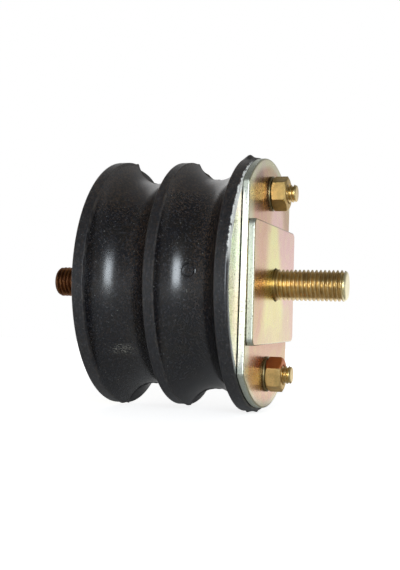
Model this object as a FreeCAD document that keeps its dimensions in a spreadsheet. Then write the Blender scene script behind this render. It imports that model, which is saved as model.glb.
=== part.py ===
import FreeCAD, Part
import os

import Sketcher
from FreeCAD import Vector

# Bonded rubber engine mount with a stud at each end, in millimetres.
# +X runs along the studs, from the rear seating face to the front stud's tip.
# +Z runs along the clamp plate's long axis, and the origin is the centre of the rear face.

# Each row: alias, value, what it is.
SIZES = [
    ("rear_land_radius", 45.0, "Rubber land at the rear end, radius"),
    ("middle_land_radius", 44.3, "Rubber land between the grooves, radius"),
    ("front_land_radius", 45.4, "Rubber land at the front end, radius"),
    ("rear_land_width", 4.2, "Rear land, width along the axis"),
    ("middle_land_width", 3.5, "Middle land, width along the axis"),
    ("front_land_width", 4.4, "Front land, width along the axis"),
    ("rear_groove_width", 21.0, "Rear groove, width along the axis"),
    ("front_groove_width", 21.0, "Front groove, width along the axis"),
    ("rear_groove_depth", 7.7, "Rear groove, depth below its edges"),
    ("front_groove_depth", 7.0, "Front groove, depth below its edges"),
    ("rim_fillet", 0.8, "Outer rims of the rubber, fillet"),
    ("land_fillet", 0.35, "Edges where a land drops into a groove, fillet"),
    ("rubber_lip", 2.4, "Rubber round the rim of an end plate"),
    ("interleaf_cover", 1.8, "Rubber over the rim of the interleaf plate"),
    ("bond_film", 0.05, "Bond between rubber and a curved steel face"),
    ("end_plate_thickness", 3.0, "Bonded end plates, thickness"),
    ("interleaf_thickness", 2.0, "Interleaf plate, thickness"),
    ("interleaf_bore_radius", 12.0, "Hole that rubber flows through, radius"),
    ("plate_edge_fillet", 0.6, "Front edges of the outer plates, fillet"),
    ("plate_back_fillet", 0.35, "Back edges of the outer plates, fillet"),
    ("clamp_plate_thickness", 2.5, "Clamp plate, thickness"),
    ("clamp_plate_margin", 0.8, "Front land beyond the clamp plate's round ends"),
    ("clamp_plate_rise", 0.5, "Clamp plate and its bolts, centre above the stud"),
    ("clamp_plate_corner", 1.5, "Clamp plate, corners where the flats meet the round ends"),
    ("plate_width", 61.4, "Clamp plate across its flats, and stud plate"),
    ("stud_plate_thickness", 2.5, "Stud plate, thickness"),
    ("stud_plate_height", 42.2, "Stud plate, height"),
    ("stud_plate_corner", 2.5, "Stud plate, corner radius"),
    ("stud_plate_twist", 2.0, "Stud plate turned about the stud, degrees"),
    ("stud_diameter", 11.11, "Studs, thread major diameter"),
    ("stud_tip_chamfer", 1.2, "Studs, chamfer at the tip"),
    ("front_stud_reach", 26.0, "Front stud beyond the stud plate"),
    ("rear_stud_reach", 26.8, "Rear stud beyond the rear face"),
    ("stud_head_flats", 15.88, "Stud heads, across flats"),
    ("stud_head_thickness", 6.4, "Stud heads, thickness"),
    ("stud_head_clearance", 0.8, "Pocket round the front stud's head"),
    ("stud_shoulder", 0.35, "Studs, plain shoulder in the plates, beyond the thread"),
    ("stud_hole_clearance", 0.15, "Stud holes, radial clearance round the shoulder"),
    ("bolt_diameter", 6.35, "Clamp bolts, thread major diameter"),
    ("bolt_tip_chamfer", 0.6, "Clamp bolts, chamfer at the tip"),
    ("bolt_edge_distance", 12.1, "Bolt's centre inside the clamp plate's round end"),
    ("bolt_head_flats", 11.11, "Clamp bolt heads, across flats"),
    ("bolt_head_thickness", 4.1, "Clamp bolt heads, thickness"),
    ("bolt_end", 3.15, "Clamp bolts beyond their nuts"),
    ("bolt_hole_clearance", 0.15, "Bolt holes, radial clearance"),
    ("washer_radius", 6.3, "Washers, outer radius"),
    ("washer_thickness", 0.8, "Washers, thickness"),
    ("nut_flats", 11.11, "Nuts, across flats"),
    ("nut_thickness", 5.56, "Nuts, thickness"),
    ("nut_face_radius", 5.25, "Nuts, radius of the flat face inside the chamfer"),
    ("nut_thread_clearance", 0.05, "Nut bore round the bolt, radial clearance"),
    ("upper_nut_turn", -1.5, "Upper nut turned about its bolt, degrees"),
    ("lower_nut_turn", 10.5, "Lower nut turned about its bolt, degrees"),
]

# Places worked out from the sizes, as expressions that the features are bound to.
SHEET = "Sizes."


def size(alias):
    """Names one cell of the sheet in an expression."""
    return SHEET + alias


REAR_GROOVE_END = f"({size('rear_land_width')} + {size('rear_groove_width')})"
MIDDLE_LAND_END = f"({REAR_GROOVE_END} + {size('middle_land_width')})"
FRONT_GROOVE_END = f"({MIDDLE_LAND_END} + {size('front_groove_width')})"
FRONT_FACE = f"({FRONT_GROOVE_END} + {size('front_land_width')})"
FRONT_DISC_BACK = f"({FRONT_FACE} - {size('end_plate_thickness')})"
CLAMP_FRONT = f"({FRONT_FACE} + {size('clamp_plate_thickness')})"
STUD_PLATE_FRONT = f"({CLAMP_FRONT} + {size('stud_plate_thickness')})"
WASHER_FRONT = f"({CLAMP_FRONT} + {size('washer_thickness')})"
MIDDLE_CENTRE = f"({REAR_GROOVE_END} + {size('middle_land_width')} / 2)"
INTERLEAF_BACK = f"({MIDDLE_CENTRE} - {size('interleaf_thickness')} / 2)"
INTERLEAF_FRONT = f"({MIDDLE_CENTRE} + {size('interleaf_thickness')} / 2)"

REAR_PLATE_RADIUS = f"({size('rear_land_radius')} - {size('rubber_lip')})"
FRONT_DISC_RADIUS = f"({size('front_land_radius')} - {size('rubber_lip')})"
INTERLEAF_RADIUS = f"({size('middle_land_radius')} - {size('interleaf_cover')})"
CLAMP_RADIUS = f"({size('front_land_radius')} - {size('clamp_plate_margin')})"
BOLT_OFFSET = f"({CLAMP_RADIUS} - {size('bolt_edge_distance')})"
UPPER_BOLT_Z = f"({size('clamp_plate_rise')} + {BOLT_OFFSET})"
LOWER_BOLT_Z = f"({size('clamp_plate_rise')} - {BOLT_OFFSET})"

STUD_RADIUS = f"({size('stud_diameter')} / 2)"
SHOULDER_RADIUS = f"({STUD_RADIUS} + {size('stud_shoulder')})"
STUD_HOLE_RADIUS = f"({SHOULDER_RADIUS} + {size('stud_hole_clearance')})"
BOLT_RADIUS = f"({size('bolt_diameter')} / 2)"
BOLT_HOLE_RADIUS = f"({BOLT_RADIUS} + {size('bolt_hole_clearance')})"
NUT_BORE_RADIUS = f"({BOLT_RADIUS} + {size('nut_thread_clearance')})"


def corner_radius(flats):
    """Distance from a hexagon's centre to its corners."""
    return f"({flats} / sqrt(3))"


HEAD_POCKET_RADIUS = f"({corner_radius(size('stud_head_flats'))} + {size('stud_head_clearance')})"

doc = FreeCAD.newDocument("engine_mount")
sheet = doc.addObject("Spreadsheet::Sheet", "Sizes")
for row, (alias, value, meaning) in enumerate(SIZES, 1):
    sheet.set(f"A{row}", meaning)
    sheet.set(f"B{row}", str(value))
    sheet.setAlias(f"B{row}", alias)
doc.recompute()


def number(expression):
    """Value of an expression, as a plain float."""
    return float(sheet.evalExpression(str(expression)))


# Sketches and features.

def new_body(label):
    body = doc.addObject("PartDesign::Body", label)
    body.Label = label
    return body


def new_sketch(body, name, role, height="0"):
    """A sketch on one of the body's origin planes, lifted along the plane's normal."""
    plane = next(feature for feature in body.Origin.OriginFeatures if feature.Role == role)
    sketch = body.newObject("Sketcher::SketchObject", f"{body.Name}_{name}")
    sketch.AttachmentSupport = (plane, [""])
    sketch.MapMode = "FlatFace"
    sketch.setExpression("AttachmentOffset.Base.z", height)
    return sketch


def bind(sketch, constraint, expression):
    """Adds a constraint whose value follows an expression."""
    index = sketch.addConstraint(constraint)
    sketch.setExpression(f"Constraints[{index}]", expression)


def place_point(sketch, edge, point, across, up):
    """Fixes one point of an edge by its two coordinates."""
    bind(sketch, Sketcher.Constraint("DistanceX", -1, 1, edge, point, number(across)), across)
    bind(sketch, Sketcher.Constraint("DistanceY", -1, 1, edge, point, number(up)), up)


def arc_through(start, end, radius):
    """Anticlockwise minor arc between two points."""
    chord = end - start
    middle = (start + end) / 2
    to_centre = Vector(-chord.y, chord.x, 0).normalize()
    centre = middle + to_centre * (radius ** 2 - (chord.Length / 2) ** 2) ** 0.5
    first = Vector(1, 0, 0)
    angles = [first.getAngle(point - centre) * (1 if point.y >= centre.y else -1)
              for point in (start, end)]
    return Part.ArcOfCircle(Part.Circle(centre, Vector(0, 0, 1), radius), *angles)


def add_loop(sketch, corners, arcs=None):
    """Closed loop through the corners; arcs gives the radius of each edge that is an arc."""
    arcs = arcs or {}
    points = [Vector(number(across), number(up), 0) for across, up in corners]
    edges = []
    for index, start in enumerate(points):
        end = points[(index + 1) % len(points)]
        if index in arcs:
            edges.append(sketch.addGeometry(arc_through(start, end, number(arcs[index]))))
        else:
            edges.append(sketch.addGeometry(Part.LineSegment(start, end)))
    for index, edge in enumerate(edges):
        following = edges[(index + 1) % len(edges)]
        sketch.addConstraint(Sketcher.Constraint("Coincident", edge, 2, following, 1))
    for (across, up), edge in zip(corners, edges):
        place_point(sketch, edge, 1, across, up)
    for index, radius in arcs.items():
        bind(sketch, Sketcher.Constraint("Radius", edges[index], number(radius)), radius)


def add_circle(sketch, radius, across="0", up="0"):
    centre = Vector(number(across), number(up), 0)
    edge = sketch.addGeometry(Part.Circle(centre, Vector(0, 0, 1), number(radius)))
    bind(sketch, Sketcher.Constraint("Radius", edge, number(radius)), radius)
    place_point(sketch, edge, 3, across, up)


def add_hexagon(sketch, flats, up="0", growth="0"):
    """Hexagon with corners at its top and bottom; growth widens it across each flat."""
    half = f"({flats} / 2 + {growth})"
    corner = f"({half} * 2 / sqrt(3))"
    corners = [
        ("0", f"{up} + {corner}"),
        (f"-{half}", f"{up} + {corner} / 2"),
        (f"-{half}", f"{up} - {corner} / 2"),
        ("0", f"{up} - {corner}"),
        (half, f"{up} - {corner} / 2"),
        (half, f"{up} + {corner} / 2"),
    ]
    add_loop(sketch, corners)


def add_rectangle(sketch, left, right, low, high):
    add_loop(sketch, [(left, low), (right, low), (right, high), (left, high)])


def feature_on(body, kind, name, sketch, **expressions):
    """A sketched feature of the body, with its lengths bound to expressions."""
    feature = body.newObject(f"PartDesign::{kind}", f"{body.Name}_{name}")
    feature.Profile = sketch
    for prop, expression in expressions.items():
        feature.setExpression(prop, expression)
    sketch.Visibility = False
    return feature


def revolve(body, kind, name, sketch):
    """Revolution or Groove about the sketch's own horizontal axis, which is +X."""
    feature = body.newObject(f"PartDesign::{kind}", f"{body.Name}_{name}")
    feature.Profile = sketch
    feature.ReferenceAxis = (sketch, ["H_Axis"])
    feature.Angle = 360
    sketch.Visibility = False
    doc.recompute()
    return feature


def round_edges(shape, places):
    """Names of full circular edges that are centred at x and have the radius, for each (x, radius)."""
    names = []
    for index, edge in enumerate(shape.Edges, 1):
        if not isinstance(edge.Curve, Part.Circle):
            continue
        centre = edge.Curve.Center
        for x, radius in places:
            near = abs(centre.x - x) < 1e-4 and abs(edge.Curve.Radius - radius) < 1e-4
            if near and (centre.y ** 2 + centre.z ** 2) ** 0.5 < 1e-4:
                names.append(f"Edge{index}")
    return names


def flat_face(shape, x):
    """The flat face that lies at x and looks along the axis."""
    return next(face for face in shape.Faces
                if isinstance(face.Surface, Part.Plane) and abs(face.CenterOfMass.x - x) < 1e-4
                and abs(abs(face.normalAt(0, 0).x) - 1) < 1e-6)


def outline_edges(shape, x):
    """Names of the edges round the outside of the flat face at x."""
    outline = flat_face(shape, x).OuterWire.Edges
    return [f"Edge{index}" for index, edge in enumerate(shape.Edges, 1)
            if any(edge.isSame(other) for other in outline)]


def dress(body, kind, name, base, edges, prop, expression):
    """Fillet or Chamfer on named edges of a feature."""
    feature = body.newObject(f"PartDesign::{kind}", f"{body.Name}_{name}")
    feature.Base = (base, edges)
    feature.setExpression(prop, expression)
    doc.recompute()
    return feature


def chamfer_hex_corners(body, flats, thickness, face_radius, ends):
    """Turns the 30 degree chamfer off a hexagon's corners, at its low end, its high end or both."""
    corner = corner_radius(flats)
    outside = f"({corner} + 1)"
    slope = "tan(30 deg)"
    at_corner = f"(({outside} - {face_radius}) * {slope})"
    sketch = new_sketch(body, "corner_profile", "XY_Plane")
    if "low" in ends:
        add_loop(sketch, [("0", face_radius), (at_corner, outside), ("0", outside)])
    if "high" in ends:
        add_loop(sketch, [(thickness, face_radius), (thickness, outside),
                          (f"{thickness} - {at_corner}", outside)])
    revolve(body, "Groove", "corner_chamfer", sketch)


# Sub-parts.

def groove_arc_radius(width, depth, first_radius, last_radius):
    """Radius of the arc that sinks to the depth midway between two land edges."""
    chord_squared = f"({width} ^ 2 + ({last_radius} - {first_radius}) ^ 2)"
    return f"({chord_squared} / (8 * {depth}) + {depth} / 2)"


def make_rubber_body():
    """One moulding: three lands, two grooves, recesses for the end plates and the embedded steel."""
    body = new_body("rubber_body")
    rear, middle, front = (size(f"{end}_land_radius") for end in ("rear", "middle", "front"))
    rear_recess = f"({REAR_PLATE_RADIUS} + {size('bond_film')})"
    front_recess = f"({FRONT_DISC_RADIUS} + {size('bond_film')})"
    profile = new_sketch(body, "profile", "XY_Plane")
    outline = [
        (size("end_plate_thickness"), "0"),
        (FRONT_DISC_BACK, "0"),
        (FRONT_DISC_BACK, front_recess),
        (FRONT_FACE, front_recess),
        (FRONT_FACE, front),
        (FRONT_GROOVE_END, front),
        (MIDDLE_LAND_END, middle),
        (REAR_GROOVE_END, middle),
        (size("rear_land_width"), rear),
        ("0", rear),
        ("0", rear_recess),
        (size("end_plate_thickness"), rear_recess),
    ]
    add_grooved_outline(profile, outline, {
        5: groove_arc_radius(size("front_groove_width"), size("front_groove_depth"), middle, front),
        7: groove_arc_radius(size("rear_groove_width"), size("rear_groove_depth"), rear, middle),
    })
    add_rectangle(profile, INTERLEAF_BACK, INTERLEAF_FRONT,
                  f"({size('interleaf_bore_radius')} - {size('bond_film')})",
                  f"({INTERLEAF_RADIUS} + {size('bond_film')})")
    turned = revolve(body, "Revolution", "moulding", profile)

    rims = round_edges(turned.Shape, [(0, number(rear)), (number(FRONT_FACE), number(front))])
    rounded = dress(body, "Fillet", "rim_rounding", turned, rims, "Radius", size("rim_fillet"))
    land_edges = round_edges(rounded.Shape, [
        (number(size("rear_land_width")), number(rear)),
        (number(REAR_GROOVE_END), number(middle)),
        (number(MIDDLE_LAND_END), number(middle)),
        (number(FRONT_GROOVE_END), number(front)),
    ])
    dress(body, "Fillet", "land_rounding", rounded, land_edges, "Radius", size("land_fillet"))

    rear_head = new_sketch(body, "rear_head", "YZ_Plane", size("end_plate_thickness"))
    add_hexagon(rear_head, size("stud_head_flats"), growth=size("bond_film"))
    cut = feature_on(body, "Pocket", "rear_head_pocket", rear_head, Length=size("stud_head_thickness"))
    cut.Reversed = True

    front_head = new_sketch(body, "front_head", "YZ_Plane", FRONT_DISC_BACK)
    add_circle(front_head, HEAD_POCKET_RADIUS)
    feature_on(body, "Pocket", "front_head_pocket", front_head,
               Length=f"{size('stud_head_thickness')} - {size('end_plate_thickness')}"
                      f" + {size('stud_head_clearance')}")

    bolt_heads = new_sketch(body, "bolt_heads", "YZ_Plane", FRONT_DISC_BACK)
    for height in (UPPER_BOLT_Z, LOWER_BOLT_Z):
        add_hexagon(bolt_heads, size("bolt_head_flats"), height, size("bond_film"))
    feature_on(body, "Pocket", "bolt_head_pockets", bolt_heads, Length=size("bolt_head_thickness"))
    return body


def add_grooved_outline(sketch, corners, arcs):
    """Outline run anticlockwise, whose groove arcs bulge inward and so run the other way."""
    points = [Vector(number(across), number(up), 0) for across, up in corners]
    edges = []
    for index, start in enumerate(points):
        end = points[(index + 1) % len(points)]
        if index in arcs:
            edges.append((sketch.addGeometry(arc_through(end, start, number(arcs[index]))), 2, 1))
        else:
            edges.append((sketch.addGeometry(Part.LineSegment(start, end)), 1, 2))
    for index, (edge, _, last) in enumerate(edges):
        following, first, _ = edges[(index + 1) % len(edges)]
        sketch.addConstraint(Sketcher.Constraint("Coincident", edge, last, following, first))
    for (across, up), (edge, first, _) in zip(corners, edges):
        place_point(sketch, edge, first, across, up)
    for index, radius in arcs.items():
        bind(sketch, Sketcher.Constraint("Radius", edges[index][0], number(radius)), radius)


def make_disc(label, radius, back, bore_radius, thickness, bolt_holes=False):
    """Flat steel disc with a bore on the axis, and the two bolt holes where it takes the bolts."""
    body = new_body(label)
    outline = new_sketch(body, "outline", "YZ_Plane", back)
    add_circle(outline, radius)
    add_circle(outline, bore_radius)
    if bolt_holes:
        for height in (UPPER_BOLT_Z, LOWER_BOLT_Z):
            add_circle(outline, BOLT_HOLE_RADIUS, up=height)
    feature_on(body, "Pad", "plate", outline, Length=thickness)
    return body


def round_corners(body, plate, back, radius):
    """Rounds the corners of the plate's outline, from its back face through to its front."""
    doc.recompute()
    rim = flat_face(plate.Shape, number(back)).OuterWire.Vertexes
    corners = []
    for index, edge in enumerate(plate.Shape.Edges, 1):
        ends = [vertex.Point for vertex in edge.Vertexes]
        along_axis = len(ends) == 2 and abs((ends[1] - ends[0]).x) > 0.999 * edge.Length
        if along_axis and any(vertex.Point.distanceToPoint(end) < 1e-6
                              for vertex in rim for end in ends):
            corners.append(f"Edge{index}")
    return dress(body, "Fillet", "corners", plate, corners, "Radius", radius)


def soften_plate(body, plate, back, front):
    """Rolled edge on a blanked plate's front, and a finer one on its back."""
    front_edges = outline_edges(plate.Shape, number(front))
    softened = dress(body, "Fillet", "front_edge", plate, front_edges, "Radius",
                     size("plate_edge_fillet"))
    back_edges = outline_edges(softened.Shape, number(back))
    dress(body, "Fillet", "back_edge", softened, back_edges, "Radius", size("plate_back_fillet"))


def make_clamp_plate():
    """Round plate with a flat on each side, held to the front disc by the two bolts."""
    body = new_body("clamp_plate")
    half_width = f"({size('plate_width')} / 2)"
    flat_end = f"sqrt({CLAMP_RADIUS} ^ 2 - {half_width} ^ 2)"
    top = f"{size('clamp_plate_rise')} + {flat_end}"
    bottom = f"{size('clamp_plate_rise')} - {flat_end}"
    outline = new_sketch(body, "outline", "YZ_Plane", FRONT_FACE)
    add_loop(outline,
             [(f"-{half_width}", top), (f"-{half_width}", bottom), (half_width, bottom), (half_width, top)],
             {1: CLAMP_RADIUS, 3: CLAMP_RADIUS})
    add_circle(outline, STUD_HOLE_RADIUS)
    for height in (UPPER_BOLT_Z, LOWER_BOLT_Z):
        add_circle(outline, BOLT_HOLE_RADIUS, up=height)
    plate = feature_on(body, "Pad", "plate", outline, Length=size("clamp_plate_thickness"))
    rounded = round_corners(body, plate, FRONT_FACE, size("clamp_plate_corner"))
    soften_plate(body, rounded, FRONT_FACE, CLAMP_FRONT)
    return body


def make_stud_plate():
    """Rectangular plate under the bracket's seat, as wide as the clamp plate's flats."""
    body = new_body("stud_plate")
    half_width = f"({size('plate_width')} / 2)"
    half_height = f"({size('stud_plate_height')} / 2)"
    outline = new_sketch(body, "outline", "YZ_Plane", CLAMP_FRONT)
    add_rectangle(outline, f"-{half_width}", half_width, f"-{half_height}", half_height)
    add_circle(outline, STUD_HOLE_RADIUS)
    plate = feature_on(body, "Pad", "plate", outline, Length=size("stud_plate_thickness"))
    rounded = round_corners(body, plate, CLAMP_FRONT, size("stud_plate_corner"))
    soften_plate(body, rounded, CLAMP_FRONT, STUD_PLATE_FRONT)
    body.Placement = FreeCAD.Placement(Vector(), FreeCAD.Rotation(Vector(1, 0, 0), 0))
    body.setExpression("Placement.Rotation.Angle", size("stud_plate_twist"))
    return body


def make_headed_stud(label, flats, head_thickness, diameter, length, tip_chamfer, shoulder=None):
    """Hexagon head behind the local origin, shank along local +X, chamfered at the tip.

    The shoulder is the length of a plain, wider stretch under the head.
    """
    body = new_body(label)
    shank_end = new_sketch(body, "shank", "YZ_Plane")
    add_circle(shank_end, f"({diameter} / 2)")
    shank = feature_on(body, "Pad", "shank_pad", shank_end, Length=length)
    doc.recompute()
    tip = round_edges(shank.Shape, [(number(length), number(diameter) / 2)])
    dress(body, "Chamfer", "tip", shank, tip, "Size", tip_chamfer)
    if shoulder:
        shoulder_end = new_sketch(body, "shoulder", "YZ_Plane")
        add_circle(shoulder_end, SHOULDER_RADIUS)
        feature_on(body, "Pad", "shoulder_pad", shoulder_end, Length=shoulder)
    head_end = new_sketch(body, "head", "YZ_Plane", f"-{head_thickness}")
    add_hexagon(head_end, flats)
    feature_on(body, "Pad", "head_pad", head_end, Length=head_thickness)
    return body


def put(body, x, z="0"):
    """Moves a body made on its own axis to its place in the mount."""
    body.setExpression("Placement.Base.x", x)
    body.setExpression("Placement.Base.z", z)


def make_stud(label, plates, reach):
    """A stud whose shoulder ends flush with the plates it goes through."""
    return make_headed_stud(label, size("stud_head_flats"), size("stud_head_thickness"),
                            size("stud_diameter"), f"({plates} + {reach})", size("stud_tip_chamfer"),
                            shoulder=plates)


def make_studs():
    front_plates = f"({size('clamp_plate_thickness')} + {size('stud_plate_thickness')})"
    front = make_stud("front_stud", front_plates, size("front_stud_reach"))
    put(front, FRONT_FACE)
    rear = make_stud("rear_stud", size("end_plate_thickness"), size("rear_stud_reach"))
    rear.Placement = FreeCAD.Placement(Vector(), FreeCAD.Rotation(Vector(0, 0, 1), 180))
    put(rear, size("end_plate_thickness"))
    return [front, rear]


def make_fastening(name, height, nut_turn):
    """One clamp bolt with its washer and nut."""
    length = f"({size('end_plate_thickness')} + {size('clamp_plate_thickness')}" \
             f" + {size('washer_thickness')} + {size('nut_thickness')} + {size('bolt_end')})"
    bolt = make_headed_stud(f"{name}_bolt", size("bolt_head_flats"), size("bolt_head_thickness"),
                            size("bolt_diameter"), length, size("bolt_tip_chamfer"))
    put(bolt, FRONT_DISC_BACK, height)

    washer = new_body(f"{name}_washer")
    ring = new_sketch(washer, "ring", "YZ_Plane")
    add_circle(ring, size("washer_radius"))
    add_circle(ring, BOLT_HOLE_RADIUS)
    feature_on(washer, "Pad", "disc", ring, Length=size("washer_thickness"))
    put(washer, CLAMP_FRONT, height)

    nut = new_body(f"{name}_nut")
    section = new_sketch(nut, "section", "YZ_Plane")
    add_hexagon(section, size("nut_flats"))
    add_circle(section, NUT_BORE_RADIUS)
    feature_on(nut, "Pad", "hexagon", section, Length=size("nut_thickness"))
    doc.recompute()
    chamfer_hex_corners(nut, size("nut_flats"), size("nut_thickness"), size("nut_face_radius"),
                        ("low", "high"))
    nut.Placement = FreeCAD.Placement(Vector(), FreeCAD.Rotation(Vector(1, 0, 0), 0))
    put(nut, WASHER_FRONT, height)
    nut.setExpression("Placement.Rotation.Angle", nut_turn)
    return [bolt, washer, nut]


bodies = [
    make_rubber_body(),
    make_disc("rear_plate", REAR_PLATE_RADIUS, "0", STUD_HOLE_RADIUS, size("end_plate_thickness")),
    make_disc("interleaf_plate", INTERLEAF_RADIUS, INTERLEAF_BACK, size("interleaf_bore_radius"),
              size("interleaf_thickness")),
    make_disc("front_disc", FRONT_DISC_RADIUS, FRONT_DISC_BACK, HEAD_POCKET_RADIUS,
              size("end_plate_thickness"), bolt_holes=True),
    make_clamp_plate(),
    make_stud_plate(),
    *make_studs(),
    *make_fastening("upper", UPPER_BOLT_Z, size("upper_nut_turn")),
    *make_fastening("lower", LOWER_BOLT_Z, size("lower_nut_turn")),
]
doc.recompute()

failed = [thing.Name for thing in doc.Objects if {"Invalid", "Error"} & set(thing.State)]
if failed:
    raise SystemExit("failed objects: " + ", ".join(failed))
for body in bodies:
    if body.Shape.isNull() or not body.Shape.isValid() or len(body.Shape.Solids) != 1:
        raise SystemExit("bad shape: " + body.Label)

os.makedirs("parts", exist_ok=True)
for body in bodies:
    body.Shape.exportStep(f"parts/{body.Label}.step")
    print(f"{body.Label:16s} {body.Shape.Volume:12.1f} mm3")
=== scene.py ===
import math

import bpy
import numpy as np
from mathutils import Matrix, Vector, noise


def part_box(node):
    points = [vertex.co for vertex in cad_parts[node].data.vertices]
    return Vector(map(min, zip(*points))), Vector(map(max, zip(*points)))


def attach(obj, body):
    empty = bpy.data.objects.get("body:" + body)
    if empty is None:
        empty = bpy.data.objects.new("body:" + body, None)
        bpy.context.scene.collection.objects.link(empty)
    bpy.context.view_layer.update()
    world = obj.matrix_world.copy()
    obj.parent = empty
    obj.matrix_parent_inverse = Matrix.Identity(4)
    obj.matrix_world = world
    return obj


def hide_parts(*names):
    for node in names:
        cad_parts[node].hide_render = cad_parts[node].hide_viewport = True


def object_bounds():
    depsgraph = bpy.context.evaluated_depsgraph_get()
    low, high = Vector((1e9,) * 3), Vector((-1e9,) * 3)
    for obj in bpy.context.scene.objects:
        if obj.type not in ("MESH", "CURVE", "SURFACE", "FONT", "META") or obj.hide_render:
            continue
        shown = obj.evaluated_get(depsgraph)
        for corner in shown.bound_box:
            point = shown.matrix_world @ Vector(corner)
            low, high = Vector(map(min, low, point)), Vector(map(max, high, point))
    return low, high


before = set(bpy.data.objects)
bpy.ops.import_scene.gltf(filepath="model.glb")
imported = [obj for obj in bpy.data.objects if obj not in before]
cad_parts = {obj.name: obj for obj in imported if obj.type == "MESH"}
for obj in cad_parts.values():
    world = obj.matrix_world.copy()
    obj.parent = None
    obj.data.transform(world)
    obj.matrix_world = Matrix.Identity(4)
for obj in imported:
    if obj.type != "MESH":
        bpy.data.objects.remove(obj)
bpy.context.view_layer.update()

# Looks of the bonded rubber engine mount.
# Blender and the frame use metres; lengths below are in millimetres.
# +X runs along the studs towards the front and +Z is up. The camera looks mostly along +Y, so
# the near half of the mount has y < 0.

MM = 0.001


def node_box(node):
    """Lowest and highest corner of a CAD node, in millimetres."""
    low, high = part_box(node)
    return np.array(low) / MM, np.array(high) / MM


rubber_high = node_box("rubber_body")[1]
rear_plate_high = node_box("rear_plate")[1]
disc_low, disc_high = node_box("front_disc")
clamp_low, clamp_high = node_box("clamp_plate")
stud_plate_low, stud_plate_high = node_box("stud_plate")

# Rubber moulding.
LENGTH = rubber_high[0]
FRONT_LAND_RADIUS = rubber_high[2]
REAR_LAND_RADIUS = 45.0
MIDDLE_LAND_RADIUS = 44.3
REAR_LAND_WIDTH = 4.2
MIDDLE_LAND = (25.2, 28.7)
FRONT_LAND_WIDTH = 4.4
REAR_GROOVE_DEPTH = 7.7
FRONT_GROOVE_DEPTH = 7.0
RIM_FILLET = 0.8
DISC_RADIUS = disc_high[2]
DISC_BACK = disc_low[0]
DISC_GAP = 0.06
REAR_PLATE_RADIUS = rear_plate_high[2]
REAR_PLATE_FRONT = rear_plate_high[0]
INSIDE_GROOVES = REAR_PLATE_RADIUS - 7  # nearer the axis than the bottom of any groove
EDGE_RIDGE_HEIGHT = 0.13

# The mould's parting line: a fin, a step between the halves, and a torn flap at the front.
# STEP_REACH is how far round the far half the step fades out, and FLAP_FROM_TOP is measured
# round the land, towards the camera.
FIN_HEIGHT = 0.7
FIN_WIDTH = 0.32
HALVES_STEP = 1.5
STEP_WIDTH = 0.4
STEP_REACH = 14
STEP_END_FADE = 2.5
FLAP_HEIGHT = 1.3
FLAP_FROM_FRONT = 2.8
FLAP_FROM_TOP = 12.5
FLAP_LENGTH = 1.3
FLAP_WIDTH = 2.2

# Studs, bolts, nuts and washers.
STUD_DIAMETER = 11.11
STUD_PITCH = 1.5
STUD_THREAD_DEPTH = 0.92
STUD_TIP_RADIUS = 4.35
STUD_TIP_CHAMFER = 1.2
STUD_HEAD_FLATS = 15.88
STUD_HEAD_THICKNESS = 6.4
FRONT_COLLAR_RADIUS = 5.62
REAR_COLLAR_RADIUS = 5.9
BOLT_DIAMETER = 6.35
BOLT_PITCH = 1.27
BOLT_THREAD_DEPTH = 0.65
BOLT_TIP_RADIUS = 2.6
BOLT_TIP_CHAMFER = 0.6
BOLT_SHANK_RADIUS = 3.1
BOLT_HEAD_THICKNESS = 4.1
NUT_FLATS = 11.11
NUT_FACE_RADIUS = 5.25
NUT_BORE_GAP = 0.05
NUT_TURN = {"upper": -1.5, "lower": 10.5}
NUT_CORNER_ROUND = 0.35
HEAD_CORNER_ROUND = 0.4
WASHER_BORE_GAP = 0.15
THREAD_RUNOUT = 1.2
THREAD_COLUMNS = 96
ROWS_PER_TURN = 14
CREST_SHARE = 0.1
FLANK_SHARE = 0.72
TIP_DOME = ((0.93, 0.05), (0.75, 0.1), (0.4, 0.14))  # each row: scale, rise
TIP_DOME_RISE = TIP_DOME[-1][1]


# Mesh helpers.

def new_mesh_piece(name, vertices, faces, sharp_angle):
    """A smooth-shaded mesh object; edges bent further than sharp_angle degrees stay sharp."""
    mesh = bpy.data.meshes.new(name)
    mesh.from_pydata([tuple(vertex) for vertex in np.asarray(vertices) * MM], [], faces)
    mesh.validate()
    mesh.shade_smooth()
    mesh.set_sharp_from_angle(angle=math.radians(sharp_angle))
    piece = bpy.data.objects.new(name, mesh)
    bpy.context.scene.collection.objects.link(piece)
    return piece


class Shells:
    """Closed shells, each laid out as rows of points round the X axis, gathered into one mesh."""

    def __init__(self):
        self.vertices = []
        self.faces = []

    def add(self, rows, ring=False):
        """Adds one shell. A ring joins its last row to its first; otherwise the ends get caps."""
        rows = np.asarray(rows, float)
        count, columns, _ = rows.shape
        start = len(self.vertices)
        self.vertices.extend(rows.reshape(-1, 3))
        steps = count if ring else count - 1
        for row in range(steps):
            this_row = start + row * columns
            next_row = start + ((row + 1) % count) * columns
            for column in range(columns):
                beside = (column + 1) % columns
                self.faces.append((this_row + column, this_row + beside,
                                   next_row + beside, next_row + column))
        if not ring:
            self.add_cap(start, rows[0], flip=True)
            self.add_cap(start + (count - 1) * columns, rows[-1], flip=False)

    def add_cap(self, start, row, flip):
        """Closes an end with triangles round its middle; start is the row's first vertex."""
        centre = len(self.vertices)
        self.vertices.append(row.mean(axis=0))
        columns = len(row)
        for column in range(columns):
            corners = (start + column, start + (column + 1) % columns, centre)
            self.faces.append(corners[::-1] if flip else corners)


def even_angles(count):
    return np.linspace(0, 2 * math.pi, count, endpoint=False)


def row_of_points(x, radii, angles):
    """Points round the X axis; x and radii are numbers, or hold one value for each angle."""
    return np.stack([np.full(len(angles), x), radii * np.cos(angles), radii * np.sin(angles)], axis=1)


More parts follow.
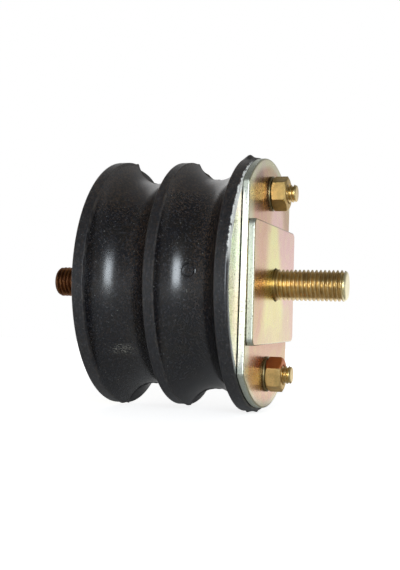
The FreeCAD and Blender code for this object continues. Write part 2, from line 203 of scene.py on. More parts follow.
def turned_rows(profile, angles, radius_offset=None):
    """Rows of points for a profile of (x, radius) pairs turned about the X axis."""
    rows = []
    for x, radius in profile:
        radii = np.full(len(angles), float(radius))
        if radius_offset is not None:
            radii = radii + radius_offset(x, radius, angles)
        rows.append(row_of_points(x, radii, angles))
    return rows


# Rubber body.

def rim_fillet(corner_x, corner_radius, inwards):
    """Quarter round of a rim, from the flat end to the cylinder; inwards is 1 or -1 along X."""
    steps = 5
    points = []
    for step in range(steps + 1):
        turn = math.pi / 2 * step / steps
        points.append((corner_x + inwards * (RIM_FILLET - RIM_FILLET * math.cos(turn)),
                       corner_radius - RIM_FILLET * (1 - math.sin(turn))))
    return points


def groove_radius(x, start, end, depth):
    """Radius of a groove at x; start and end are the (x, radius) of the edges it hangs between."""
    chord = math.dist(start, end)
    arc = chord ** 2 / (8 * depth) + depth / 2
    across = ((end[0] - start[0]) / chord, (end[1] - start[1]) / chord)
    middle = ((start[0] + end[0]) / 2, (start[1] + end[1]) / 2)
    centre = (middle[0] - across[1] * (arc - depth), middle[1] + across[0] * (arc - depth))
    return centre[1] - math.sqrt(arc ** 2 - (x - centre[0]) ** 2)


LAND_EDGES = (
    (REAR_LAND_WIDTH, REAR_LAND_RADIUS),
    (MIDDLE_LAND[0], MIDDLE_LAND_RADIUS),
    (MIDDLE_LAND[1], MIDDLE_LAND_RADIUS),
    (LENGTH - FRONT_LAND_WIDTH, FRONT_LAND_RADIUS),
)


def moulding_radius(x):
    """Outer radius of the moulding at x, without fillets."""
    if x < LAND_EDGES[0][0]:
        return REAR_LAND_RADIUS
    if x < LAND_EDGES[1][0]:
        return groove_radius(x, LAND_EDGES[0], LAND_EDGES[1], REAR_GROOVE_DEPTH)
    if x <= LAND_EDGES[2][0]:
        return MIDDLE_LAND_RADIUS
    if x < LAND_EDGES[3][0]:
        return groove_radius(x, LAND_EDGES[2], LAND_EDGES[3], FRONT_GROOVE_DEPTH)
    return FRONT_LAND_RADIUS


def moulding_profile():
    """Profile from the rear recess, over the lands and grooves, to the front recess.

    The edges of the lands are softened and carry fine ridges, with one more before the front land.
    """
    spacing = 0.28
    softening = np.linspace(-0.25, 0.25, 5)
    ridge_width = 0.22
    extra_ridge_before = 1.5
    near_axis = 0.5
    profile = [(REAR_PLATE_FRONT, near_axis), (REAR_PLATE_FRONT, REAR_PLATE_RADIUS),
               (0, REAR_PLATE_RADIUS), (0, REAR_PLATE_RADIUS + 0.1)]
    profile += rim_fillet(0, REAR_LAND_RADIUS, 1)
    for x in np.arange(RIM_FILLET, LENGTH - RIM_FILLET + spacing / 2, spacing):
        soft = np.mean([moulding_radius(x + shift) for shift in softening])
        ridge = sum(math.exp(-((x - edge) / ridge_width) ** 2) for edge, _ in LAND_EDGES)
        ridge += 0.8 * math.exp(-((x - LAND_EDGES[3][0] + extra_ridge_before) / 0.2) ** 2)
        profile.append((x, soft + EDGE_RIDGE_HEIGHT * ridge))
    profile += rim_fillet(LENGTH, FRONT_LAND_RADIUS, -1)[::-1]
    profile += [(LENGTH, DISC_RADIUS + beyond) for beyond in (0.9, 0.45, DISC_GAP)]
    profile += [(DISC_BACK, DISC_RADIUS + DISC_GAP), (DISC_BACK, near_axis)]
    return profile


def parting_line(x, radius, angles):
    """Torn fin where the mould halves met, along the top and the bottom.

    At the top the far half sits lower, so the halves meet in a step. A torn flap stands up from
    the front land, on the camera's side of the step. The bottoms of the recesses stay plain.
    """
    offset = np.zeros(len(angles))
    if radius < INSIDE_GROOVES:
        return offset
    for side in (1, -1):
        from_line = (angles - side * math.pi / 2) * radius
        torn = 0.5 + 0.9 * noise.noise(Vector((x * 0.45, side * 7, 3)))
        offset += FIN_HEIGHT * max(torn, 0.1) * np.exp(-(from_line / FIN_WIDTH) ** 2)
    towards_camera = (angles - math.pi / 2) * radius
    flap = FLAP_HEIGHT * math.exp(-((x - LENGTH + FLAP_FROM_FRONT) / FLAP_LENGTH) ** 2)
    offset += flap * np.exp(-((towards_camera - FLAP_FROM_TOP) / FLAP_WIDTH) ** 2)
    far_half = np.clip(-towards_camera / STEP_WIDTH, 0, 1)
    far_half = far_half * np.exp(-(np.minimum(towards_camera, 0) / STEP_REACH) ** 2)
    from_end = min(1.0, max(0.0, min(x, LENGTH - x) / STEP_END_FADE))
    return offset - HALVES_STEP * far_half * from_end


def make_rubber():
    """The moulding; its columns are closer together at the parting line."""
    even = np.linspace(-math.pi, math.pi, 216, endpoint=False)
    fine = np.radians(np.arange(-2.4, 2.41, 0.3))
    angles = np.unique(np.concatenate([even, fine + math.pi / 2, fine - math.pi / 2]).round(6))
    shells = Shells()
    shells.add(turned_rows(moulding_profile(), angles, parting_line))
    return new_mesh_piece("rubber_moulding", shells.vertices, shells.faces, 40)


# Studs, bolts, nuts and washers.

def hexagon_radius(angles, flats, corner_round):
    """Distance from the centre to a hexagon's rounded outline, corners at the top and bottom."""
    half = flats / 2
    local = (angles + math.pi / 6) % (math.pi / 3) - math.pi / 6
    flat = half / np.cos(local)
    tangent = math.atan((half - corner_round) * math.tan(math.pi / 6) / half)
    centre = (half - corner_round) / math.cos(math.pi / 6)
    from_corner = math.pi / 6 - np.abs(local)
    inside = np.maximum(corner_round ** 2 - (centre * np.sin(from_corner)) ** 2, 0)
    rounded = centre * np.cos(from_corner) + np.sqrt(inside)
    return np.where(np.abs(local) > tangent, np.minimum(flat, rounded), flat)


def hexagon_angles():
    """Angles round a hexagon, closer together at its corners."""
    half_side = np.array([0, 6, 12, 18, 24, 27.5, 28.4, 29.2])
    side = np.concatenate([-half_side[:0:-1], half_side, [30]])
    return np.radians(np.concatenate([side + 60 * index for index in range(6)]))


def add_hexagon_head(shells, flats, back, front):
    """A head from back to front along X, bevelled at the back."""
    angles = hexagon_angles()
    outline = hexagon_radius(angles, flats, HEAD_CORNER_ROUND)
    profile = ((back, 0.5), (back + 0.25, 0.0), (back + 0.4, 0.0), (front, 0.0))
    shells.add([row_of_points(x, outline - shrink, angles) for x, shrink in profile])


def thread_rows(start, end, major, thread):
    """Rows of a right-hand thread from start to end, fading in at the start and cut by the chamfer.

    major is the outer radius; thread is (depth, pitch, tip radius, chamfer).
    """
    depth, pitch, tip_radius, chamfer = thread
    angles = even_angles(THREAD_COLUMNS)
    rows = []
    for x in np.arange(start, end + pitch / (2 * ROWS_PER_TURN), pitch / ROWS_PER_TURN):
        x = min(x, end)
        turns = (x / pitch - angles / (2 * math.pi)) % 1.0
        height = np.clip((np.abs(turns - 0.5) * 2 - CREST_SHARE) / FLANK_SHARE, 0, 1)
        near_tip = max(0.25, (end - x) / chamfer)
        cut = depth * min(1.0, max(0.0, (x - start) / THREAD_RUNOUT), near_tip)
        radii = major - cut * (1 - height)
        if x > end - chamfer:
            limit = tip_radius + (major - tip_radius) * math.sqrt(max(0.0, (end - x) / chamfer))
            radii = np.minimum(radii, limit)
        rows.append(row_of_points(x, radii, angles))
    dome = [rows[-1] * np.array([1, scale, scale]) + np.array([rise, 0, 0]) for scale, rise in TIP_DOME]
    return rows + dome


def make_stud(name, node, diameter, collar, thread, head, towards=1):
    """A headed stud along +X, or along -X where towards is -1; it replaces its CAD node.

    collar is (radius, where it ends along the stud's own direction); thread is (depth, pitch, tip
    radius, chamfer); head is (flats, thickness, x under the head).
    """
    low, high = node_box(node)
    collar_radius, collar_end = collar
    flats, thickness, under_head = head
    bevel = 0.15
    tip = (high if towards > 0 else low)[0] * towards
    under = under_head * towards
    shells = Shells()
    shank = [(under, collar_radius), (collar_end - bevel, collar_radius),
             (collar_end, collar_radius - bevel)]
    shells.add(turned_rows(shank, even_angles(64)))
    shells.add(thread_rows(collar_end - 0.4, tip - TIP_DOME_RISE, diameter / 2, thread))
    add_hexagon_head(shells, flats, under - thickness, under)
    vertices = np.array(shells.vertices)
    if towards < 0:
        vertices = vertices * np.array([-1, -1, 1])
    vertices = vertices + np.array([0, 0, (low[2] + high[2]) / 2])
    return new_mesh_piece(name, vertices, shells.faces, 38)


def make_nut(name, node, turn):
    """Hexagon nut turned by some degrees, chamfered at both ends, with a countersunk bore."""
    low, high = node_box(node)
    thickness = high[0] - low[0]
    angles = hexagon_angles()
    outline = hexagon_radius(angles, NUT_FLATS, NUT_CORNER_ROUND)
    chamfer = (outline - NUT_FACE_RADIUS) * math.tan(math.radians(30))
    bore = BOLT_DIAMETER / 2 + NUT_BORE_GAP
    face = ((0.6, bore), (0.0, bore + 0.55), (0.0, NUT_FACE_RADIUS - 0.12), (0.04, NUT_FACE_RADIUS))
    end_rows = [(np.full(len(angles), x), np.full(len(angles), radius)) for x, radius in face]
    end_rows += [(chamfer - 0.05, outline - 0.09), (chamfer + 0.09, outline), (chamfer + 0.2, outline)]
    rows = end_rows + [(thickness - x, radius) for x, radius in end_rows[::-1]]
    turned = angles + math.radians(turn)
    shells = Shells()
    shells.add([row_of_points(x + low[0], radius, turned) for x, radius in rows], ring=True)
    centre = np.array([0, (low[1] + high[1]) / 2, (low[2] + high[2]) / 2])
    return new_mesh_piece(name, np.array(shells.vertices) + centre, shells.faces, 30)


def make_washer(name, node):
    """Pressed washer with rounded rims, the back one the rounder."""
    low, high = node_box(node)
    outer = (high[1] - low[1]) / 2
    bore = BOLT_DIAMETER / 2 + WASHER_BORE_GAP
    soft = 0.2
    back = low[0]
    front = high[0]
    profile = [(back, bore), (back, outer - soft), (back + soft / 2, outer - soft / 4),
               (back + soft * 1.5, outer), (front - soft, outer), (front - soft / 4, outer - soft / 3),
               (front, outer - soft), (front, bore)]
    shells = Shells()
    shells.add(turned_rows(profile, even_angles(72)), ring=True)
    centre = np.array([0, 0, (low[2] + high[2]) / 2])
    return new_mesh_piece(name, np.array(shells.vertices) + centre, shells.faces, 40)


# Materials.

class Nodes:
    """Adds nodes to a node tree, and links or fills their sockets."""

    def __init__(self, tree):
        self.tree = tree

    def add(self, kind, values=None, **settings):
        """A new node; values go to its inputs, by name or number, and settings are its properties."""
        node = self.tree.nodes.new("ShaderNode" + kind)
        for key, value in settings.items():
            setattr(node, key, value)
        for socket, value in (values or {}).items():
            self.put(node.inputs[socket], value)
        return node

    def put(self, socket, value):
        if isinstance(value, bpy.types.NodeSocket):
            self.tree.links.new(value, socket)
        else:
            socket.default_value = value

    def split(self, vector):
        return self.add("SeparateXYZ", {0: vector}).outputs

    def math(self, operation, *values):
        return self.add("Math", dict(enumerate(values)), operation=operation).outputs[0]

    def plus(self, total, *others):
        for other in others:
            total = self.math("ADD", total, other)
        return total

    def times(self, product, *others):
        for other in others:
            product = self.math("MULTIPLY", product, other)
        return product

    def away(self, value, centre):
        """How far a value is from another."""
        return self.math("ABSOLUTE", self.math("SUBTRACT", value, centre))

    def noise(self, vector, scale, detail=3.0, roughness=0.55, distortion=0.0):
        node = self.add("TexNoise", {"Vector": vector, "Scale": scale, "Detail": detail,
                                     "Roughness": roughness, "Distortion": distortion})
        return node.outputs["Fac"]

    def stretch(self, vector, x, y, z):
        """The vector with its parts multiplied; a texture on it is squeezed by that much."""
        return self.add("VectorMath", {0: vector, 1: (x, y, z)}, operation="MULTIPLY").outputs[0]

    def distance(self, vector, centre):
        node = self.add("VectorMath", {0: vector, 1: centre}, operation="DISTANCE")
        return node.outputs["Value"]

    def along(self, vector, direction):
        """How far the vector reaches along a direction, times that direction's length."""
        node = self.add("VectorMath", {0: vector, 1: direction}, operation="DOT_PRODUCT")
        return node.outputs["Value"]

    def between(self, value, low, high):
        """0 below low and 1 above high, smooth in between; low may be the larger."""
        node = self.add("MapRange", {"Value": value, "From Min": low, "From Max": high},
                        interpolation_type="SMOOTHSTEP")
        return node.outputs["Result"]

    def ramp(self, value, stops, interpolation="EASE"):
        """A colour for a value; each stop is (position, colour)."""
        node = self.add("ValToRGB", {0: value})
        node.color_ramp.interpolation = interpolation
        elements = node.color_ramp.elements
        while len(elements) < len(stops):
            elements.new(0.5)
        for element, (place, colour) in zip(elements, stops):
            element.position = place
            element.color = (*colour, 1)
        return node.outputs[0]

    def mirrored(self, path):
        """1 for rays that see the scene in a gloss or through glass."""
        return self.math("MAXIMUM", path["Is Glossy Ray"], path["Is Transmission Ray"])


class Shader(Nodes):
    """The nodes of one new material."""

    def __init__(self, name):
        self.material = bpy.data.materials.new(name)
        self.material.use_nodes = True
        super().__init__(self.material.node_tree)
        self.surface = self.tree.nodes["Principled BSDF"]

    def set(self, **values):
        """Sets inputs of the surface; an underscore stands for a space."""
        for name, value in values.items():
            self.put(self.surface.inputs[name.replace("_", " ")], value)

    def position(self):
        """Place on the object, in millimetres."""
        place = self.add("TexCoord").outputs["Object"]
        return self.add("VectorMath", {0: place, 3: 1 / MM}, operation="SCALE").outputs[0]

    def normal(self):
        return self.split(self.add("TexCoord").outputs["Normal"])

    def mix(self, factor, first, second):
        """The first colour, with the second laid over it by the factor."""
        node = self.add("Mix", data_type="RGBA")
        self.put(node.inputs[0], factor)
        self.put(node.inputs[6], first if isinstance(first, bpy.types.NodeSocket) else (*first, 1))
        self.put(node.inputs[7], second if isinstance(second, bpy.types.NodeSocket) else (*second, 1))
        return node.outputs[2]

    def bump(self, height, distance, strength=1.0, normal=None):
        values = {"Height": height, "Distance": distance * MM, "Strength": strength}
        if normal is not None:
            values["Normal"] = normal
        return self.add("Bump", values).outputs[0]

    def soft_edges(self, radius):
        return self.add("Bevel", {"Radius": radius * MM}, samples=4).outputs[0]


# Rubber, its marks, the dirt on it, and painted shade on its far half.
BLACK = (0.004, 0.005, 0.008)
FADED = (0.009, 0.008, 0.007)
LAND_DARK = (0.003, 0.004, 0.006)
LAND_STREAK = (0.030, 0.031, 0.037)
GRAIN = (0.033, 0.034, 0.040)
DUST = (0.100, 0.062, 0.038)
MOULD_LINE = (0.085, 0.070, 0.056)
SPECK = (0.20, 0.20, 0.18)
CHAFED = (0.11, 0.11, 0.11)
SCUFF = (0.34, 0.32, 0.27)
TORN = (1.0, 0.99, 0.93)
# Painted shade for the far half of the rubber, next to the parting line.
FAR_HALF_SHADE = (0.006, 0.006, 0.008)

LAND_STARTS = (43.7, 44.25)  # radii where the lands' look fades in
SCUFF_PLACE = (12.5, -27.7, -24.8)
SCUFF_STRETCH = (0.75, 1.0, 1.7)
SCUFF_RADIUS = 5.5
RING_RADIUS = 2.1
MOULD_RINGS = (((38.8, -37.8, 1.7), 6.0), ((22.0, -39.5, 2.6), 2.0))  # each row: centre, height


def rubber_material():
    shader = Shader("rubber")
    place = shader.position()
    x, y, z = shader.split(place)
    radius = shader.math("SQRT", shader.plus(shader.times(y, y), shader.times(z, z)))
    normal_x = shader.normal()[0]

    cloud = shader.noise(place, 0.12, 3.0)
    grain = shader.noise(place, 1.1, 4.0, 0.75)
    colour = shader.mix(shader.between(cloud, 0.35, 0.7), BLACK, FADED)
    on_land = shader.between(radius, *LAND_STARTS)
    streaks = shader.noise(shader.stretch(place, 3.0, 0.25, 0.25), 1.0, 3.0)
    land_colour = shader.mix(shader.between(streaks, 0.35, 0.65), LAND_DARK, LAND_STREAK)
    colour = shader.mix(shader.times(on_land, 0.45), colour, land_colour)
    colour = shader.mix(shader.between(grain, 0.53, 0.62), colour, GRAIN)

    # Brown dust, thickest near the top and on the groove walls that face the rear.
    facing_rear = shader.between(normal_x, 0.25, -0.7)
    upper = shader.between(z, -28.0, 18.0)
    near_top = shader.times(shader.between(z, 16.0, 32.0), 0.9)
    dust_amount = shader.math("MAXIMUM", shader.times(facing_rear, upper), near_top)
    dust_grain = shader.between(shader.noise(place, 1.5, 3.0, 0.8), 0.50, 0.60)
    dust = shader.times(dust_grain, shader.plus(0.20, shader.times(0.8, dust_amount)))
    colour = shader.mix(dust, colour, DUST)

    # Fine lines that the mould left at the edges of the lands.
    broken = shader.between(shader.noise(place, 0.35, 2.0), 0.4, 0.65)
    for edge, _ in LAND_EDGES:
        line = shader.between(shader.away(x, edge), 0.42, 0.05)
        colour = shader.mix(shader.times(line, broken, 0.5), colour, MOULD_LINE)

    # Pale specks, chafed lands and a scuff on the rear cushion.
    specks = shader.between(shader.noise(place, 1.35, 1.0, 0.5), 0.72, 0.78)
    colour = shader.mix(shader.times(specks, 0.7), colour, SPECK)
    chafing = shader.noise(shader.stretch(place, 2.0, 0.9, 0.9), 1.0, 3.0, 0.7)
    chafed = shader.times(on_land, shader.between(chafing, 0.56, 0.68))
    colour = shader.mix(shader.times(chafed, 0.6), colour, CHAFED)
    flat_place = shader.stretch(place, *SCUFF_STRETCH)
    flat_centre = tuple(size * scale for size, scale in zip(SCUFF_PLACE, SCUFF_STRETCH))
    scuff = shader.between(shader.distance(flat_place, flat_centre), SCUFF_RADIUS, 0.0)
    scratches = shader.between(shader.noise(flat_place, 1.6, 3.0, 0.7), 0.5, 0.62)
    colour = shader.mix(shader.times(scuff, scratches, 0.9), colour, SCUFF)

    # Rubber torn pale along the rim round the front disc, from the middle to near the top.
    uneven = shader.times(shader.noise(place, 0.6, 4.0, 0.8), 6.0)
    at_rim = shader.between(shader.plus(radius, uneven), DISC_RADIUS + 6.6, DISC_RADIUS + 5.9)
    reach = shader.times(shader.noise(place, 0.45, 4.0, 0.8), 2.6)
    on_front = shader.between(shader.plus(x, reach), LENGTH + 0.75, LENGTH + 1.0)
    ragged = shader.between(shader.noise(place, 0.5, 4.0, 0.75), 0.28, 0.40)
    height_span = shader.times(shader.between(z, 3.0, 9.0), shader.between(z, 43.0, 38.0))
    torn = shader.times(shader.times(at_rim, on_front, ragged), height_span)
    colour = shader.mix(torn, colour, TORN)

    # The far half is dull, and next to the parting line its colour is darkened with painted shade.
    far_half = shader.times(shader.between(y, -0.2, 0.4), shader.between(y, 30.0, 12.0))
    colour = shader.mix(shader.times(far_half, 0.6), colour, FAR_HALF_SHADE)
    shader.set(Base_Color=colour)

    # Grain, specks, and a small ring that the mould left on each groove.
    relief = shader.times(grain, 0.4)
    for centre, height in MOULD_RINGS:
        ring = shader.between(shader.away(shader.distance(place, centre), RING_RADIUS), 0.45, 0.0)
        relief = shader.plus(relief, shader.times(ring, height))
    relief = shader.plus(relief, shader.times(specks, 1.2))
    shader.set(Normal=shader.bump(relief, 0.045, 0.8))
    roughness = shader.plus(
        0.17,
        shader.times(grain, 0.12),
        shader.times(shader.between(x, 29.0, 23.0), 0.04),
        shader.times(shader.between(z, 22.0, 38.0), 0.12),
        shader.times(on_land, 0.14),
        shader.times(far_half, 0.25),
    )
    shader.set(Roughness=roughness, Specular_IOR_Level=0.75)
    return shader.material


# Passivated zinc, the stains on it, a painted reflection, and painted shade where plates meet.
PINK = (0.68, 0.39, 0.23)
SALMON = (0.60, 0.30, 0.18)
BROWN = (0.28, 0.12, 0.035)
DARK_BROWN = (0.16, 0.08, 0.045)
# Painted reflection of the upper nut on the clamp plate.
NUT_REFLECTION_ORANGE = (0.62, 0.30, 0.06)
YELLOW = (0.88, 0.80, 0.34)
GREEN_GREY = (0.60, 0.60, 0.42)
PALE_GREEN = (0.74, 0.84, 0.52)
MAUVE = (0.80, 0.49, 0.45)
PALE = (0.76, 0.60, 0.35)
FRECKLE = (0.42, 0.30, 0.20)
SHEARED_EDGE = (0.94, 0.96, 0.90)
STUD_PLATE_EDGE = (0.74, 0.77, 0.68)
ROUND_EDGE = (0.60, 0.64, 0.50)
PIT = (0.22, 0.25, 0.20)
GAP_SHADE = (0.035, 0.050, 0.042)


def zinc_material(name, ground, stains, seams=(), hidden_beyond=None, edge=SHEARED_EDGE):
    """Passivated zinc: a ground colour with soft-edged stains over it, each in its own place.

    A stain is (kind, vector, low, high, colour, strength): "across" fades in from low to high along
    the vector, "round" by the distance from that point. seams are the places along X where the
    rims get painted shade, dark like a gap between plates. Nearer than hidden_beyond to the XZ
    plane, the face is painted dark all over, as painted shade under the plate that covers it, ending
    in a thin line of painted shade beside that plate's edge.
    """
    shader = Shader(name)
    place = shader.position()
    x, y, z = shader.split(place)
    drift = shader.math("SUBTRACT", shader.noise(place, 0.07, 3.0, 0.55, 0.5), 0.5)
    colour = ground
    for kind, vector, low, high, stain_colour, strength in stains:
        measure = shader.along(place, vector) if kind == "across" else shader.distance(place, vector)
        measure = shader.plus(measure, shader.times(drift, 0.8 * abs(high - low)))
        mask = shader.times(shader.between(measure, low, high), strength)
        colour = shader.mix(mask, colour, stain_colour)
    rainbow = shader.ramp(shader.noise(place, 0.11, 2.0, 0.5, 1.0), [
        (0.30, PALE_GREEN), (0.44, YELLOW), (0.56, MAUVE), (0.70, PINK)])
    colour = shader.mix(0.16, colour, rainbow)
    freckles = shader.between(shader.noise(place, 0.9, 3.0, 0.7), 0.60, 0.74)
    colour = shader.mix(shader.times(freckles, 0.3), colour, FRECKLE)

    # Sheared edges are pale, rough and pitted, duller round the ends, and the rolled rim is grey.
    facing = shader.math("ABSOLUTE", shader.normal()[0])
    on_rim = shader.between(facing, 0.97, 0.85)
    on_edge = shader.between(facing, 0.55, 0.25)
    colour = shader.mix(shader.times(on_rim, 0.75), colour, GREEN_GREY)
    colour = shader.mix(on_edge, colour, edge)
    round_end = shader.between(shader.math("ABSOLUTE", z), 27.0, 31.0)
    colour = shader.mix(shader.times(round_end, on_edge, 0.6), colour, ROUND_EDGE)
    pits = shader.between(shader.noise(place, 1.7, 3.0, 0.75), 0.54, 0.66)
    colour = shader.mix(shader.times(pits, on_edge, 0.6), colour, PIT)
    # Painted shade on the rims at the seams, where one plate sits against the next.
    for seam in seams:
        at_seam = shader.between(shader.away(x, seam), 0.42, 0.2)
        colour = shader.mix(shader.times(at_seam, shader.times(on_rim, 0.75)), colour, GAP_SHADE)
    # Painted shade on the face where the plate in front covers it, and in a thin line beside that
    # plate's edge.
    if hidden_beyond is not None:
        covered = shader.between(shader.math("ABSOLUTE", y), hidden_beyond + 0.8, hidden_beyond + 0.3)
        colour = shader.mix(covered, colour, GAP_SHADE)
    grain = shader.noise(place, 1.6, 4.0, 0.6)
    shader.set(Base_Color=colour, Metallic=1.0,
               Roughness=shader.plus(0.20, shader.times(grain, 0.14), shader.times(on_edge, 0.22)),
               Normal=shader.bump(grain, 0.008, 0.5, shader.soft_edges(0.12)))
    return shader.material


RUST = (0.62, 0.17, 0.055)


def fastener_material(name, light, dark, roughness, spans=(), rust_above=None):
    """Golden zinc on machined steel, with dirt.

    A span is (low, high, colour, strength) along X; rust_above is the height where rust begins.
    """
    shader = Shader(name)
    place = shader.position()
    x, _, z = shader.split(place)
    patches = shader.noise(place, 0.35, 3.0, 0.6)
    colour = shader.mix(shader.between(patches, 0.35, 0.7), light, dark)
    for low, high, span_colour, strength in spans:
        inside = shader.times(shader.between(x, low - 0.2, low + 0.1),
                              shader.between(x, high + 0.2, high - 0.1))
        colour = shader.mix(shader.times(inside, strength), colour, span_colour)
    if rust_above is not None:
        rust = shader.times(shader.between(z, rust_above - 0.3, rust_above + 0.2), 0.85)
        colour = shader.mix(rust, colour, RUST)
    dirt = shader.between(shader.noise(place, 2.0, 3.0, 0.75), 0.56, 0.70)
    colour = shader.mix(shader.times(dirt, 0.5), colour, tuple(0.3 * c for c in dark))
    grain = shader.noise(place, 1.5, 4.0, 0.65)
    shader.set(Base_Color=colour, Metallic=1.0,
               Roughness=shader.plus(roughness, shader.times(grain, 0.16)),
               Normal=shader.bump(grain, 0.012, 0.5, shader.soft_edges(0.1)))
    return shader.material


# Pieces.

def dress(piece, node, material):
    """Gives a new piece its material and body; it stands for its CAD node."""
    piece.data.materials.append(material)
    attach(piece, "root")
    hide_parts(node)


def paint(node, material):
    """Gives a CAD node its material."""
    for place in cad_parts[node].material_slots:
        place.material = material


dress(make_rubber(), "rubber_body", rubber_material())

seat = stud_plate_high[0]
stud_tip = node_box("front_stud")[1][0]
lower_nut_shoulder = node_box("lower_nut")[0][2] + 0.77 * NUT_FLATS
golden = fastener_material("golden_zinc", (0.80, 0.62, 0.30), (0.60, 0.44, 0.19), 0.26)
golden_nut = fastener_material("golden_nut_zinc", (0.63, 0.45, 0.18), (0.46, 0.33, 0.125), 0.40)
stained_nut = fastener_material("stained_nut_zinc", (0.85, 0.61, 0.26), (0.64, 0.45, 0.18), 0.42,
                                rust_above=lower_nut_shoulder)
golden_stud = fastener_material("golden_stud_zinc", (0.86, 0.67, 0.35), (0.62, 0.47, 0.23), 0.27, [
    # Painted shade: a dark golden-brown band round the stud's base, where it meets the plate.
    (seat - 1, seat + 1.2, (0.36, 0.23, 0.08), 0.85),
    (stud_tip - 1.3, stud_tip + 1, (1.0, 0.92, 0.62), 1.0),
])
rusty = fastener_material("rusty_zinc", (0.27, 0.12, 0.05), (0.15, 0.06, 0.03), 0.36)
washer_zinc = fastener_material("washer_zinc", (0.30, 0.27, 0.15), (0.20, 0.17, 0.09), 0.36)

stud_thread = (STUD_THREAD_DEPTH, STUD_PITCH, STUD_TIP_RADIUS, STUD_TIP_CHAMFER)
front_stud = make_stud("front_stud_threaded", "front_stud", STUD_DIAMETER,
                       (FRONT_COLLAR_RADIUS, seat + 0.9), stud_thread,
                       (STUD_HEAD_FLATS, STUD_HEAD_THICKNESS, clamp_low[0]))
rear_stud = make_stud("rear_stud_threaded", "rear_stud", STUD_DIAMETER,
                      (REAR_COLLAR_RADIUS, 0.6), stud_thread,
                      (STUD_HEAD_FLATS, STUD_HEAD_THICKNESS, REAR_PLATE_FRONT), towards=-1)
dress(front_stud, "front_stud", golden_stud)
dress(rear_stud, "rear_stud", rusty)

for end, nut_material in (("upper", golden_nut), ("lower", stained_nut)):
    bolt = make_stud(f"{end}_bolt_threaded", f"{end}_bolt", BOLT_DIAMETER,
                     (BOLT_SHANK_RADIUS, DISC_BACK + 3),
                     (BOLT_THREAD_DEPTH, BOLT_PITCH, BOLT_TIP_RADIUS, BOLT_TIP_CHAMFER),
                     (NUT_FLATS, BOLT_HEAD_THICKNESS, DISC_BACK))
    nut = make_nut(f"{end}_nut_chamfered", f"{end}_nut", NUT_TURN[end])
    washer = make_washer(f"{end}_washer_pressed", f"{end}_washer")
    dress(bolt, f"{end}_bolt", golden)
    dress(nut, f"{end}_nut", nut_material)
    dress(washer, f"{end}_washer", washer_zinc)

clamp_face = clamp_high[0]
clamp_end = clamp_high[2]
disc_face = disc_high[0]
paint("stud_plate", zinc_material("zinc_stud_plate", YELLOW, [
    ("across", (0, 1, -0.15), -10, -20, PINK, 1.0),
    ("across", (0, 1, 0), -25, -31, GREEN_GREY, 0.35),
    ("across", (0, 0.7, -0.8), 12, 26, PALE, 0.8),
    ("across", (0, 1, 0.35), 5, 13, MAUVE, 1.0),
    ("across", (0, 0, 1), 19, 24, MAUVE, 0.7),
    ("across", (0, 0.3, -1), 8, 17, PALE, 0.8),
    ("across", (0, 1, 0), 21, 28, MAUVE, 0.5),
    ("round", (seat, 2, -14), 12, 5, YELLOW, 0.6),
], seams=[stud_plate_low[0]], edge=STUD_PLATE_EDGE))
paint("clamp_plate", zinc_material("zinc_clamp_plate", SALMON, [
    ("across", (0, 0.3, 1), 24, 33, BROWN, 0.95),
    ("across", (0, 0.5, 1), 16, 23, PINK, 0.4),
    ("round", (clamp_face, 10, 23), 13, 6, MAUVE, 1.0),
    # Beside the upper nut, on the near side, where the nut's reflection falls: a dark brown patch, and
    # an orange one that is a painted reflection of the nut.
    ("round", (clamp_face, -20, 33), 11, 6, DARK_BROWN, 0.8),
    ("round", (clamp_face, -9, 33), 6, 2, NUT_REFLECTION_ORANGE, 0.3),
    ("across", (0, 1, 0), -22, -28, GREEN_GREY, 0.9),
    ("across", (0, 0, 1), -20, -24, YELLOW, 0.15),
    ("round", (clamp_face, -12, -38), 9, 3, YELLOW, 0.35),
    ("across", (0, 0, 1), -31, -38, PINK, 0.6),
    ("round", (clamp_face, 0, 0), clamp_end - 4.5, clamp_end - 1.5, GREEN_GREY, 0.9),
], seams=[clamp_low[0]]))
paint("front_disc", zinc_material("zinc_front_disc", (0.49, 0.45, 0.30), [
    ("across", (0, 0, 1), 16, 26, (0.53, 0.39, 0.31), 0.6),
    ("round", (disc_face, -36, 10), 11, 4, (0.39, 0.49, 0.29), 0.95),
    ("across", (0, 1, 0.2), -38, -34, (0.62, 0.48, 0.44), 0.25),
    ("round", (disc_face, -34, -12), 12, 4, (0.52, 0.41, 0.21), 0.8),
    ("across", (0, 0, 1), -22, -30, (0.57, 0.41, 0.30), 0.8),
], hidden_beyond=clamp_high[1]))
paint("rear_plate", zinc_material("zinc_rear_plate", YELLOW, [
    ("across", (0, 1, 0.4), -6, -26, PINK, 0.8),
    ("across", (0, 1, -0.6), 8, 30, PALE_GREEN, 0.7),
]))
paint("interleaf_plate", washer_zinc)


# Floor, light and camera.

def make_floor():
    """White for the camera but for the mount's shadow; gloss sees it darker near the mount."""
    shader = Shader("floor")
    shader.set(Base_Color=(0.86, 0.86, 0.86, 1), Roughness=0.9, Specular_IOR_Level=0.1)
    path = shader.add("LightPath").outputs
    place = shader.position()
    away = shader.distance(place, (LENGTH / 2, 0, 0))
    mirror_glow = shader.plus(0.09, shader.times(shader.between(away, 100, 450), 0.3))
    behind = shader.between(shader.split(place)[1], 10, 90)
    mirror_glow = shader.math("MAXIMUM", mirror_glow, shader.times(behind, 0.9))
    camera_glow = shader.plus(0.82, shader.times(shader.between(away, 150, 380), 0.4))
    glow = shader.plus(shader.times(path["Is Camera Ray"], camera_glow),
                       shader.times(shader.mirrored(path), mirror_glow))
    emission = shader.add("Emission", {"Strength": glow}).outputs[0]
    both = shader.add("AddShader", {0: shader.surface.outputs[0], 1: emission}).outputs[0]
    shader.put(shader.tree.nodes["Material Output"].inputs["Surface"], both)
    half = 3000.0
    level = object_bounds()[0][2] / MM - 0.05
    corners = [(-half, -half, level), (half, -half, level), (half, half, level), (-half, half, level)]
    floor = new_mesh_piece("floor", corners, [(0, 1, 2, 3)], 30)
    floor.data.materials.append(shader.material)


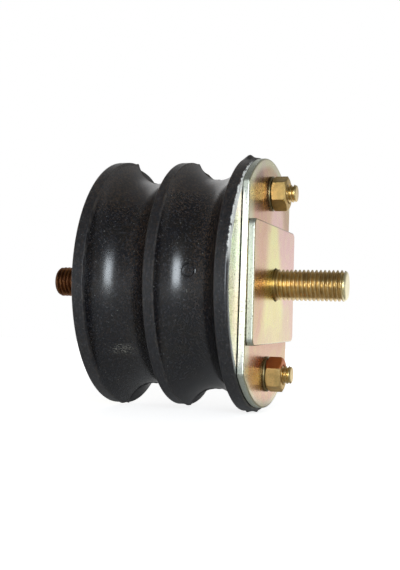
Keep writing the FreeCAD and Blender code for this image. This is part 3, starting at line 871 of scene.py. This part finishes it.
def make_world():
    """White for the camera; for light and gloss, bright at the horizon and dim overhead.

    In gloss, the side that the camera looks from is darker than the side behind the mount.
    """
    world = bpy.data.worlds.new("studio")
    bpy.context.scene.world = world
    world.use_nodes = True
    nodes = Nodes(world.node_tree)
    nodes.tree.nodes.clear()
    _, along_y, height = nodes.split(nodes.add("TexCoord").outputs["Generated"])
    sky = nodes.ramp(height, [
        (0.06, (1.0, 1.0, 1.0)), (0.28, (0.5, 0.5, 0.5)), (0.75, (0.22, 0.22, 0.22))], "LINEAR")
    gloss_level = nodes.add("MapRange", {"Value": along_y, "From Min": -0.1, "From Max": 0.4,
                                         "To Min": 0.42, "To Max": 1.0}).outputs[0]
    light = nodes.add("Background", {"Color": sky, "Strength": 0.4}).outputs[0]
    gloss = nodes.add("Background", {"Color": sky, "Strength": gloss_level}).outputs[0]
    white = nodes.add("Background", {"Color": (1, 1, 1, 1)}).outputs[0]
    path = nodes.add("LightPath").outputs
    unseen = nodes.add("MixShader", {0: nodes.mirrored(path), 1: light, 2: gloss}).outputs[0]
    shown = nodes.add("MixShader", {0: path["Is Camera Ray"], 1: unseen, 2: white}).outputs[0]
    nodes.add("OutputWorld", {"Surface": shown})


def add_lamp(name, direction, distance, width, height, radiance, colour=(1, 1, 1)):
    """A soft lamp that faces the mount from a direction; sizes in millimetres."""
    lamp = bpy.data.lights.new(name, "AREA")
    lamp.shape = "RECTANGLE"
    lamp.size = width * MM
    lamp.size_y = height * MM
    lamp.energy = radiance * math.pi * lamp.size * lamp.size_y
    lamp.color = colour
    holder = bpy.data.objects.new(name, lamp)
    bpy.context.scene.collection.objects.link(holder)
    aim = Vector((LENGTH / 2, 0, 0)) * MM
    towards = Vector(direction).normalized()
    holder.location = aim + towards * distance * MM
    holder.rotation_euler = towards.to_track_quat("Z", "Y").to_euler()


def make_camera():
    """A camera on the near side, beyond the front end; roll is in radians."""
    place = Vector((132.19, -310.59, -20.58)) * MM
    aim = Vector((30.487, 0, -0.488)) * MM
    roll = 0.0363
    forward = (aim - place).normalized()
    level_right = forward.cross(Vector((0, 0, 1))).normalized()
    level_up = level_right.cross(forward)
    right = level_right * math.cos(roll) + level_up * math.sin(roll)
    up = level_up * math.cos(roll) - level_right * math.sin(roll)
    camera = bpy.data.objects.new("camera", bpy.data.cameras.new("camera"))
    camera.data.lens = 55.97
    camera.data.sensor_width = 36
    camera.data.clip_start = 0.01
    camera.data.clip_end = 50
    bpy.context.scene.collection.objects.link(camera)
    turned = Matrix((right, up, -forward)).transposed().to_4x4()
    camera.matrix_world = Matrix.Translation(place) @ turned
    bpy.context.scene.camera = camera


make_floor()
make_world()
add_lamp("key", (0.375, -0.926, -0.018), 600, 230, 440, 10.6, (0.85, 0.93, 1.0))
add_lamp("fill", (-0.5, 0.7, 0.5), 900, 600, 400, 0.9)
make_camera()
bpy.context.scene.view_settings.view_transform = "Standard"
